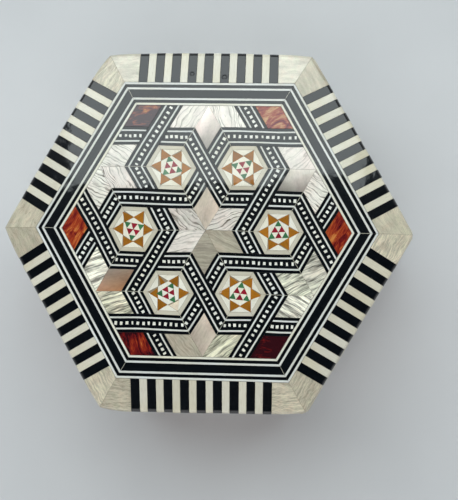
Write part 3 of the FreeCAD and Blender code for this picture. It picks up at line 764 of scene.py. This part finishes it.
def mitre_lines():
    """Thin pale joints where straps and the wide black band bend."""
    runs, lines = strap_runs(), []
    for run, cut in ((0, 3), (2, 2), (3, 3)):
        point, direction = runs[run][:2]
        angle, distance = runs[run][cut]
        middle = reach(point, direction + 90)
        lines.append(sawn((direction + 90, middle + STRAP / 2), (direction - 90, STRAP / 2 - middle),
                          (angle, distance + MITRE), (angle + 180, MITRE - distance), glue=0))
    near = FIELD + 2 * BONE_LINE + BLACK_LINE
    lines.append(sawn((30, near + BLACK_BAND), (-30, near + BLACK_BAND), (90, MITRE), (270, MITRE),
                      (180, -near * 2 / ROOT3), glue=0))
    return all_round(lines)


core, line, edge = STRAP_CORE / 2 + BITE, STRAP_CORE / 2 + STRAP_LINE - BITE, STRAP / 2
outlines, run = strap_layer([(-core, core)])
lay_tiles("strap_core_strips", outlines, "black_inlay", "strap_cores", grain=run, lean=0.0)
outlines, run = strap_layer([(-line, -core), (core, line)])
lay_tiles("strap_bone_strips", outlines, "bone", "strap_bone_lines", grain=run, tint=BONE_WHITE)
outlines, run = strap_layer([(-edge, -line), (line, edge)])
lay_tiles("strap_edge_strips", outlines, "black_inlay", "strap_black_edges", grain=run)
outlines, run = strap_squares()
lay_tiles("strap_squares", outlines, "bone", grain=run, tint=IVORY, lift=0.02, spread=0.06)
lay_tiles("pale_mitres", mitre_lines(), "bone", tint=MITRE_BONE, lift=0.026, lean=0.0)


# The lid's frame and border.

rings = {"bone": [], "black": [], "band": []}
near = FIELD
for kind, width in (("bone", BONE_LINE), ("black", BLACK_LINE), ("bone", BONE_LINE), ("band", BLACK_BAND),
                    ("bone", BONE_LINE), ("black", BLACK_LINE), ("bone", BONE_LINE)):
    inward = BITE if kind == "bone" else -BITE
    rings[kind].append(strip(270, near + inward, near + width - inward))
    near += width
lay_tiles("frame_bone_strips", all_round(rings["bone"]), "bone", "frame_bone_lines",
          grain=np.repeat(TURNS, 4), tint=np.tile([BONE_CREAM] + [BONE_WHITE] * 3, (6, 1)))
lay_tiles("frame_black_strips", all_round(rings["black"]), "black_inlay", "frame_black_lines",
          grain=np.repeat(TURNS, 2))
lay_tiles("frame_band_strips", all_round(rings["band"]), "black_inlay", "frame_black_band", grain=TURNS)

bar_count = 2 * BLACK_BARS - 1
joints = np.linspace(-BAR_END, BAR_END, bar_count + 1)
joints[1:-1] += rng.normal(0, JOINT_WANDER, bar_count - 1)
bars = np.stack([joints[:-1], joints[1:]], axis=1)[..., None] * np.array([1.0, 0.0])
wider = np.array([[-BAR_BITE, 0.0], [BAR_BITE, 0.0]])
blocks = [[[BAR_END + BAR_BITE, 0.0], [0.0, 1 / ROOT3]], [[0.0, -1 / ROOT3], [-BAR_END - BAR_BITE, 0.0]]]
block_tints = np.array([CORNER_PEARL] * 6 + [PALE_CORNER_PEARL] * 2 + [CORNER_PEARL] * 4) * BLOCK_TONES
lay_border("border_black_strips", bars[0::2] + wider, "black_inlay", "border_black_bars", BLACK,
           wander=BAR_WANDER)
lay_border("border_bone_strips", bars[1::2] - wider, "bone", "border_bone_bars", BONE, wander=BAR_WANDER)
lay_border("border_corner_blocks", blocks, "pearl", "border_pearl_corners", block_tints, BLOCK_FIGURE,
           across_bar=False, steps=7)


def lay_plugs(name, places):
    """Round black plugs let into bars of the back border, each a place in X, a place in Y and a radius.

    Each is a section turned about an axis square to the slope: an upright edge, a raised rim and a flat
    middle a little below it.
    """
    across, away, lift = np.moveaxis(
        lathe([1.0, 1.0, 0.82, 0.68, 0.45], [-0.3, 0.0, 0.13, 0.13, 0.0], spokes=28), -1, 0)
    x, y, radius = np.array(places).T[..., None, None]
    points = np.stack([x + radius * across, y + radius * away * math.cos(STEEP) + lift * math.sin(STEEP),
                       TOP - BEVEL_FALL * (y - FLAT) - radius * away * math.sin(STEEP)
                       + lift * math.cos(STEEP)], axis=-1)
    return new_piece(name, points.reshape(-1, 3), loops_joined(*points.shape[:3]), "lid", "black_inlay",
                     surface=marks(points, BLACK, 1.0))


lay_plugs("border_plugs", [(-5.5, 49.5, 0.82), (4.75, 48.5, 0.96)])


# The lid's tiles. Sides are counted from the right-hand back side, anticlockwise.

tile_height = RHOMB * ROOT3 / 2
tile_inner = (PITCH - RHOMB) * ROOT3 / 2
tile_far = (PITCH + RHOMB) * ROOT3 / 2
tile_notch = (PITCH * 2 - RHOMB) * ROOT3 / 2
lozenge = sawn((-30, FIELD / 2), (90, FIELD / 2), (150, -tile_inner), (270, -tile_inner))
flanks = [sawn((30, FIELD), (210, tile_height - FIELD), (30 + side, tile_far), (210 + side, -FIELD / 2))
          for side in (60, -60)]
centre_rhomb = sawn((270, 0.0), (330, tile_height), (90, tile_height), (150, 0.0))
corner_rhomb = sawn((330, FIELD), (30, FIELD), (150, -tile_notch), (210, -tile_notch))

# Each lozenge's gradient of colour: partly the shell's own, partly a painted reflection across it.
LOZENGE_TONE_AND_SHEEN_GRADIENTS = [[(0.0, 0.14)] * 3, [(-0.03, 0.085)] * 3, [(0.0, 0.0)] * 3,
                  [(0.0, -0.05), (-0.02, 0.02), (-0.045, 0.08)], [(0.055, 0.025)] * 3, [(0.0, 0.0)] * 3]
lay_tiles("pink_edge_lozenges", all_round([lozenge]), "pink_pearl", "edge_lozenges",
          grain=[100, 70, 120, 10, 60, 30], tint=[PALE_PINK, LILAC, PEARL, SALMON, PINK, SILVER_PEARL],
          figure=[0.02, 0.02, 0.28, 0.06, 0.1, 1.0], shade=LOZENGE_TONE_AND_SHEEN_GRADIENTS)
lay_tiles("pearl_flank_tiles", all_round(flanks), "pearl", "pearl_tiles",
          grain=[45, 146, 60, 100, 150, 150, 24, 22, 35, 130, 26, 147],
          tint=[PEARL, LINED_PEARL, PEARL, LINED_PEARL, LINED_PEARL, LINED_PEARL,
                WARM_PEARL, SILK_PEARL, OLIVE_PEARL, BEIGE_PEARL, DULL_PEARL, SILK_PEARL],
          figure=[0.15, 0.31, 0.2, 0.21, 0.31, 0.22, 0.9, 0.9, 0.9, 0.5, 1.0, 0.95])
lay_tiles("centre_pearl_rhombs", all_round([centre_rhomb]), "pink_pearl", "centre_rhombs",
          grain=[20, 80, 140, 10, 5, 160], tint=[PEARL, PINK, PEARL, PEARL, DARK_PEARL, BEIGE_PEARL],
          figure=[0.3, 0.1, 0.3, 0.2, 0.5, 0.5])
# The corners at 60 and 120 degrees take tints that paint a grey reflection haze over their flames.
lay_tiles("red_corner_rhombs", all_round([corner_rhomb]), "red_corner", "corner_rhombs",
          grain=[60, 20, 0, 60, 110, 0], tint=[PLAIN_FLAME, ROSY_HAZE_PAINTED_FLAME, PALE_HAZE_PAINTED_FLAME] + [PLAIN_FLAME] * 3,
          figure=[0.56, 0.56, 0.19, 0.56, 0.33, 0.15])


# The star medallions, counted anticlockwise from the right, each turned by its own amount. One point is
# thinned to a sliver and one is patched with other wood.

TRIANGLE_TURNS = (4.0, 70.0, 13.0, 52.0, -23.0, -8.0)
STAR_TURNS = (1.0, 2.0, -3.0, 1.5, 3.5, -2.0)
SLIVER, PATCH, THINNED = (4, 120.0), (4, 300.0), 0.55
POINT_TURN, POINT_SCATTER, TRIANGLE_SCATTER, TRIANGLE_SWELL = 2.0, 0.16, 0.04, 0.06
OPENING, STAR_FLAT, TRIANGLE = RHOMB * ROOT3 / 2, STAR * ROOT3 / 2, STAR / ROOT3
borders, gussets, points, point_tints, greens, reds, creams, plates, beds = ([] for _ in range(9))
for medallion in range(6):
    home = polar(60 * medallion, PITCH)

    def cut(*cuts, centre=np.zeros(2)):
        """A piece whose cuts are measured from a point of this medallion."""
        return sawn(*[(angle, distance + reach(home + centre, angle)) for angle, distance in cuts])

    for turn in TURNS:
        borders.append(cut((turn + 30, OPENING), (turn + 150, 0.0), (turn + 210, -STAR_FLAT),
                           (turn + 270, 0.0)))
        gussets.append(cut((turn + 30, STAR_FLAT), (turn + 180, -STAR / 2), (turn + 240, -STAR / 2)))
        point = cut((turn + 300, STAR / 2), (turn + 60, STAR / 2), (turn + 180, -STAR / 2))
        point = turned(point, STAR_TURNS[medallion] + rng.normal(0, POINT_TURN), home)
        if (medallion, turn) == SLIVER:
            side = polar(turn + 90, 1.0)
            point = point - THINNED * ((point - point.mean(axis=0)) @ side)[:, None] * side
        points.append(point + rng.normal(0, POINT_SCATTER, point.shape))
        point_tints.append(PATCH_WOOD if (medallion, turn) == PATCH else GOLD)
    plates.append(cut(*[(turn, STAR / 2) for turn in TURNS]))
    beds.append(cut(*[(turn + 30, STAR_FLAT) for turn in TURNS]))
    for turn in 90 + TRIANGLE_TURNS[medallion] + np.array([0, 120, 240]):
        for kind, direction, share, pointing in ((greens, turn, 2 / 3, turn), (reds, turn + 180, 1 / 3, turn),
                                                 (creams, turn, 1 / 3, turn + 180)):
            piece = cut(*[(pointing + angle, TRIANGLE / 6 + TRIANGLE_SWELL) for angle in (60, 180, 300)],
                        centre=polar(direction, TRIANGLE * share))
            kind.append(piece + rng.normal(0, TRIANGLE_SCATTER, piece.shape))
lay_tiles("star_border_strips", borders, "star_border", "star_borders", grain=np.tile(TURNS + 120, 6))
lay_tiles("star_cream_pieces", gussets + plates + creams, "cream", "star_cream",
          grain=rng.uniform(0, 180, 60), lift=np.repeat([0.0, 0.0, 0.016], [36, 6, 18]))
lay_tiles("star_glue_beds", beds, "cream", tint=GLUE_BROWN, lift=-0.1, lean=0.0)
lay_tiles("star_points", points, "gold_wood", "star_gold_points", grain=np.tile(TURNS, 6),
          tint=point_tints, lift=0.012, spread=0.1)
lay_tiles("star_green_triangles", greens, "green", "star_green", grain=30, lift=0.018, spread=0.1)
lay_tiles("star_red_triangles", reds, "red", "star_red", grain=70, lift=0.018, spread=0.1)


# The upright sides. At the back the chamfers over and under the hinge axis cut the inlay short.

def trimmed(outline, normal, distance):
    """An outline cut along a line: its corners within a distance along the normal, and the two crossings."""
    beyond = outline @ normal - distance
    ahead, beyond_ahead = np.roll(outline, -1, axis=0), np.roll(beyond, -1)
    crosses = beyond * beyond_ahead < 0
    share = np.where(crosses, beyond / np.where(crosses, beyond - beyond_ahead, 1.0), 0.0)
    both = np.stack([outline, outline + (ahead - outline) * share[:, None]], axis=1).reshape(-1, 2)
    return both[np.stack([beyond <= 0, crosses], axis=1).ravel()]


def lay_side(name, shapes, slot, node, body, **looks):
    """Rectangles of left, right, bottom and top on all six sides, kept clear of the chamfer at the back.

    On the back side a height limits them, and what is left too narrow is dropped. On the two sides next to
    it the chamfer's edge runs on from the back corner, and cuts off what lies beyond it.
    """
    outlines, facing = [], []
    fall = CHAMFER / (OUTER - AXIS_Y) * ROOT3 / 2
    lowest, highest, upward = (0.0, BODY_BACK_TOP, 1) if body == "box_body" else (LID_BACK_LOW, TOP, -1)
    limit = upward * (highest if upward > 0 else lowest) + fall * HALF_SIDE
    towards_back = {FACINGS["back_right"]: 1, FACINGS["back_left"]: -1}
    for turn in SIDES:
        for left, right, bottom, top in shapes:
            if turn == FACINGS["back"]:
                bottom, top = max(bottom, lowest), min(top, highest)
            if top - bottom < NARROWEST:
                continue
            outline = rectangle(left, right, bottom, top)
            if turn in towards_back:
                outline = trimmed(outline, np.array([fall * towards_back[turn], upward]), limit)
            outlines.append(outline)
            facing.append(turn)
    return lay_tiles(name, outlines, slot, node, body, facing, **looks)


def hoop(edge, low, high, width):
    """Four strips round the inside of a panel: at the bottom, the top, the left and the right."""
    inner, bottom, top = edge - width, low + width, high - width
    return [(-edge, edge, low, bottom), (-edge, edge, top, high),
            (-edge, -inner, bottom, top), (inner, edge, bottom, top)]


def corner_strips(name, node, body, usual, at_back):
    """Angle strips of bone over the six corners: a chevron plan carried up from a height to another."""
    width = CORNER_STRIP - GLUE / 2
    tip = np.array([OUTER_RADIUS - width / 2, width * ROOT3 / 2])
    inner = tip - INLAY * np.array([ROOT3 / 2, 0.5])
    plan = np.array([[OUTER_RADIUS - CORNER_WEAR, 0.0], tip, inner, [OUTER_RADIUS - INLAY * 2 / ROOT3, 0.0],
                     inner * [1, -1], tip * [1, -1]])
    heights = [at_back if turn in (60, 120) else usual for turn in TURNS]
    profile = np.array([[[ANGLE_ARRIS, low], [0.0, low + ANGLE_ARRIS], [0.0, high - ANGLE_ARRIS],
                         [ANGLE_ARRIS, high]] for low, high in heights])
    return lay_tiles(name, all_round([plan]), "bone", node, body, grain=TURNS, lean=0.0,
                     profile=profile, base=0.0)


corner_strips("body_corner_angles", "wall_corner_strips", "box_body", (FLOOR, RIM), (FLOOR, BODY_BACK_TOP))
corner_strips("lid_corner_angles", "lid_corner_strips", "lid", (LID, SIDE_TOP), (LID_BACK_LOW, SIDE_TOP))

low, high = FLOOR, RIM
lay_side("body_rim_strips", hoop(SIDE_EDGE, low, high, BONE_LINE)[:2], "bone", "wall_bone_rims", "box_body")
low, high = low + BONE_LINE, high - BONE_LINE
lay_side("body_black_strips", hoop(SIDE_EDGE, low, high, BLACK_BAND), "black_inlay", "wall_black_bands",
         "box_body")
low, high, band_in = low + BLACK_BAND, high - BLACK_BAND, SIDE_EDGE - BLACK_BAND
lay_side("body_bone_strips", hoop(band_in, low, high, BONE_LINE), "bone", "wall_bone_lines", "box_body")

low, high, field = low + BONE_LINE, high - BONE_LINE, band_in - BONE_LINE
middle, step, gap = (low + high) / 2, field / 3, 0.02
lozenges = [np.array([[x, low], [x + step - gap, middle], [x, high], [x - step + gap, middle]])
            for x in (-2 * step, 0.0, 2 * step)]
triangles = []
for x in (-3 * step, -step, step, 3 * step):
    left, right = max(x - step, -field) + gap, min(x + step, field) - gap
    triangles.append(np.array([[left, low], [right, low], [x, middle - 2 * gap]]))
    triangles.append(np.array([[right, high], [left, high], [x, middle + 2 * gap]]))
lay_tiles("body_pearl_lozenges", lozenges * 6, "pink_pearl", "wall_pearl_lozenges", "box_body",
          np.repeat(SIDES, 3), grain=rng.uniform(60, 120, 18), spread=0.08,
          tint=np.tile([ROSE_PEARL, PALE_ROSE_PEARL, ROSE_PEARL], (6, 1)), figure=0.06)
lay_tiles("body_pearl_triangles", triangles * 6, "pearl", "wall_pearl_triangles", "box_body",
          np.repeat(SIDES, 8), grain=rng.uniform(0, 180, 48),
          figure=rng.uniform(0.06, 0.18, 48), spread=0.06)

low, high = LID + BONE_LINE, LID + BONE_LINE + BLACK_BAND
levels = [(LID, low), (high, high + BONE_LINE), (SIDE_TOP - BONE_LINE, SIDE_TOP)]
seams = np.linspace(-SIDE_EDGE, SIDE_EDGE, 5)
lay_side("lid_side_bone_strips", [(-SIDE_EDGE, SIDE_EDGE, *level) for level in levels], "bone",
         "lid_side_bone_lines", "lid")
lay_side("lid_side_black_strips", [(-SIDE_EDGE, SIDE_EDGE, low, high)], "black_inlay",
         "lid_side_black_bands", "lid")
shapes = [(left, right, high + BONE_LINE, SIDE_TOP - BONE_LINE) for left, right in zip(seams, seams[1:])]
lay_side("lid_side_pearl_strips", shapes, "pearl", "lid_side_pearl", "lid", grain=rng.normal(0, 12, 24),
         figure=rng.uniform(0.06, 0.18, 24), spread=0.06)


# Linings, felt, boards and hinges.

def soft_hexagon(name, apothem, bottom, top, crown, body, slot, node, face_down=False, pucker=0.0):
    """A soft hexagonal pad as rings about its middle, over the face, round the edge and across the back.

    A point at share s of the way out to the hexagon's side stands at the crown height times one minus s
    squared, falls away through a quarter round at the edge, and puckers along the edge in a slow wave.
    """
    spokes, softest, pinch, pinch_width = 144, 1.3, 0.93, 0.06
    angle = np.linspace(0, 2 * math.pi, spokes, endpoint=False)
    side = apothem / np.cos(angle % math.radians(60) - math.radians(30))
    thick = top - bottom
    roll = min(thick, softest)
    swing = np.linspace(0, math.pi / 2, 7)[1:]
    face = np.linspace(0, 1, 22)[1:]
    share = np.concatenate([face, np.ones(6), [1.0], [0.5]])[:, None]
    inset = np.concatenate([np.full(len(face), roll), roll - roll * np.sin(swing), [0.0], [0.0]])[:, None]
    drop = np.concatenate([np.zeros(len(face)), roll - roll * np.cos(swing), [thick], [thick]])[:, None]
    out = share * (side - inset * 1.05)
    wave = pucker * np.sin(angle * 40 + 0.6 * np.sin(angle * 7))
    wave = wave * np.exp(-(((share - pinch) / pinch_width) ** 2))
    height = np.where(drop < thick, thick - drop + crown * (1 - share ** 2) + wave, 0.0)
    lifted = top - height if face_down else bottom + height
    rings = np.stack([out * np.cos(angle), out * np.sin(angle), lifted], axis=-1).reshape(-1, 3)
    first_z, last_z = (bottom - crown, top) if face_down else (top + crown, bottom)
    points = np.concatenate([rings, [[0, 0, first_z], [0, 0, last_z]]])
    index = np.arange(out.size).reshape(out.shape)
    ahead = np.roll(index, -1, axis=1)
    quads = np.stack([index[:-1], index[1:], ahead[1:], ahead[:-1]], axis=-1).reshape(-1, 4)
    near = np.stack([np.full(spokes, out.size), index[0], ahead[0]], axis=-1)
    far = np.stack([np.full(spokes, out.size + 1), ahead[-1], index[-1]], axis=-1)
    faces = [group[:, ::-1] if face_down else group for group in (quads, near, far)]
    return new_piece(name, points, faces, body, slot, node, smooth=True)


def lining_panels(name, node, bottom, top, body):
    """Velvet panels inside the walls: a grid along and up each wall, pillowed towards its edges.

    The face stands off the wall by the thickness times the product of (1 - |2u - 1|^10) and
    (1 - |2v - 1|^10) on top of a thin edge, and a flat back closes it.
    """
    u, v = np.meshgrid(np.linspace(0, 1, 41), np.linspace(0, 1, 17), indexing="ij")
    rise = (1 - np.abs(2 * u - 1) ** 10) * (1 - np.abs(2 * v - 1) ** 10)
    sag = 0.07 * np.sin(9 * u + 2 * v) * np.sin(5 * v + 1.3)
    edge, thickness, back = 0.35, 0.8, 0.03
    out = INNER - np.stack([edge + (thickness + sag) * rise, np.full(u.shape, back)])
    along = (2 * u - 1) * (out / ROOT3 - GLUE)
    points = on_side(np.array(SIDES)[:, None, None, None], out, along, bottom + v * (top - bottom))
    index = np.arange(u.size).reshape(u.shape)
    face = grid_joined(index)
    outline = np.concatenate([index[:-1, 0], index[-1, :-1], index[:0:-1, -1], index[0, :0:-1]])
    ahead = np.roll(outline, -1)
    # The narrow faces round the edge take their corners crosswise.
    skirt = np.stack([outline, ahead, outline + u.size, ahead + u.size], axis=-1)
    faces = [group + 2 * u.size * number for number in range(6)
             for group in (face, face[:, ::-1] + u.size, skirt)]
    made = new_piece(name, points.reshape(-1, 3), faces, body, "velvet", node, smooth=True)
    return made


def nail_heads(name, places, outward, body):
    """Flat brass nail heads: a low dome turned about its axis, sunk into the hinge leaf."""
    ring = lathe([0.75, 0.75, 0.62, 0.38], [-0.3, 0.0, 0.05, 0.085], spokes=20) * [1, outward, outward]
    points = np.asarray(places)[:, None, None] + ring
    return new_piece(name, points.reshape(-1, 3), loops_joined(*points.shape[:3]), body, "hinge_brass")


SLACK, LAID, CROWN, PUCKER = 0.1, 0.02, 0.25, 0.05
FELT_MARGIN, FELT_GAP = 0.8, 0.01
floor_pad = soft_hexagon("floor_pad", LINED - SLACK, BASE_TOP + LAID, BASE_TOP + PAD - SLACK, CROWN,
                         "box_body", "velvet", "floor_lining", pucker=PUCKER)
lid_pad = soft_hexagon("lid_pad", LINED - SLACK, LID_BOARD - PAD + SLACK, LID_BOARD - LAID, CROWN,
                       "lid", "velvet", "lid_lining", face_down=True, pucker=PUCKER)
lining_panels("wall_velvet_panels", "wall_linings", BASE_TOP + LAID, RIM - REVEAL, "box_body")
lining_panels("lid_velvet_strips", "lid_wall_linings", LID + REVEAL, LID_BOARD - LAID, "lid")

felt_apothem = OUTER - FELT_MARGIN
felt_sheet = soft_hexagon("base_felt_sheet", felt_apothem, 0.0, FLOOR - FELT_GAP, 0.0, "box_body",
                          "base_felt", "base_felt", face_down=True)

woods = {run: wood_finish(run) for run in (0, 60, 120)}
for name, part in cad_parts.items():
    if name in ("base_board", "lid_board"):
        part.material_slots[0].material = woods[0]
    elif name.startswith(("wall_front", "wall_back", "lid_wall_front", "lid_wall_back")):
        part.material_slots[0].material = woods[(FACINGS[name.split("wall_")[1]] + 90) % 180]
    elif name.startswith("hinge_"):
        part.material_slots[0].material = FINISHES["hinge_brass"]
for body, level, outward in (("box_body", RIM, 1), ("lid", LID, -1)):
    places = [(side * HINGE_X + along, AXIS_Y - NAIL_BACK, level)
              for side in (-1, 1) for along in (-NAIL_STEP, 0.0, NAIL_STEP)]
    nail_heads(f"{body}_hinge_nails", places, outward, body)


# Floor, light and camera.

def make_floor():
    """A wide pale floor as a grid, a little below the felt."""
    half_width, level = 6000.0, -0.05
    line = np.linspace(-half_width, half_width, 9)
    x, y = np.meshgrid(line, line)
    points = np.stack([x, y, np.full(x.shape, level)], axis=-1).reshape(-1, 3)
    made = Finish("pale_floor", {"Roughness": 0.75})
    cloud = made.noise(made.place(), 0.012, 3.0)
    colour = made.ramp(cloud, (0.3, (0.57, 0.575, 0.59)), (0.7, (0.63, 0.635, 0.65)))
    quads = grid_joined(np.arange(x.size).reshape(x.shape))
    new_object("floor", points, [quads], made.done({"Base Color": colour}))


def softbox(name, place, aim, width, depth, power, shape="RECTANGLE", colour=(1.0, 1.0, 1.0)):
    """An area lamp at a place, turned to face a point, in metres."""
    lamp = bpy.data.lights.new(name, "AREA")
    lamp.shape, lamp.size, lamp.size_y = shape, width, depth
    lamp.energy, lamp.color = power, colour
    made = linked(name, lamp)
    made.location = place
    made.rotation_euler = (Vector(place) - Vector(aim)).to_track_quat("Z", "Y").to_euler()


def light_the_scene():
    """A broad softbox overhead towards the back, a low fill in front, and a world pale near the ground."""
    softbox("overhead", (-0.187, 1.2, 1.25), (-0.187, 1.2, 0.0), width=2.75, depth=2.1, power=38.0,
            shape="ELLIPSE", colour=(0.91, 1.0, 1.01))
    softbox("front_top", (-0.1, -0.66, 1.25), (-0.1, -0.66, 0.0), width=1.2, depth=0.62, power=3.9)
    softbox("front_fill", (-0.3, -2.6, 1.05), (0.0, 0.0, 0.05), width=6.0, depth=1.8, power=27.0)
    world = bpy.data.worlds.new("studio")
    bpy.context.scene.world = world
    world.use_nodes = True
    sky = Nodes(world.node_tree)
    background = world.node_tree.nodes["Background"]
    background.inputs["Strength"].default_value = 1.0
    height = sky.node("SeparateXYZ", {0: sky.node("TexCoord", {}, "Generated")}, "Z")
    glow = sky.level(height, 0.36, 0.56, 0.5, 0.02)
    seen = sky.node("LightPath", {}, "Is Camera Ray")
    sky.feed(background.inputs["Color"], sky.mix(seen, glow, (0.55, 0.555, 0.57, 1.0)))


def aim_camera():
    """The camera nearly straight above, as fitted: turned about X, then Y, then Z, seen from the camera."""
    tilt, pan, spin = (math.radians(angle) for angle in (-2.781, -3.382, -1.129))
    place = Vector((25.19, -20.51, TOP + 300)) * MM
    focal_pixels, picture_height = 969.9, 500
    seen = Matrix.Rotation(spin, 4, "Z") @ Matrix.Rotation(pan, 4, "Y") @ Matrix.Rotation(tilt, 4, "X")
    camera = bpy.data.cameras.new("camera")
    camera.sensor_fit, camera.sensor_height = "VERTICAL", 24.0
    camera.lens = camera.sensor_height * focal_pixels / picture_height
    camera.clip_start = 0.01
    made = linked("camera", camera)
    made.matrix_world = Matrix.Translation(place) @ seen.transposed()
    bpy.context.scene.camera = made


make_floor()
light_the_scene()
aim_camera()
bpy.context.scene.view_settings.view_transform = "Standard"
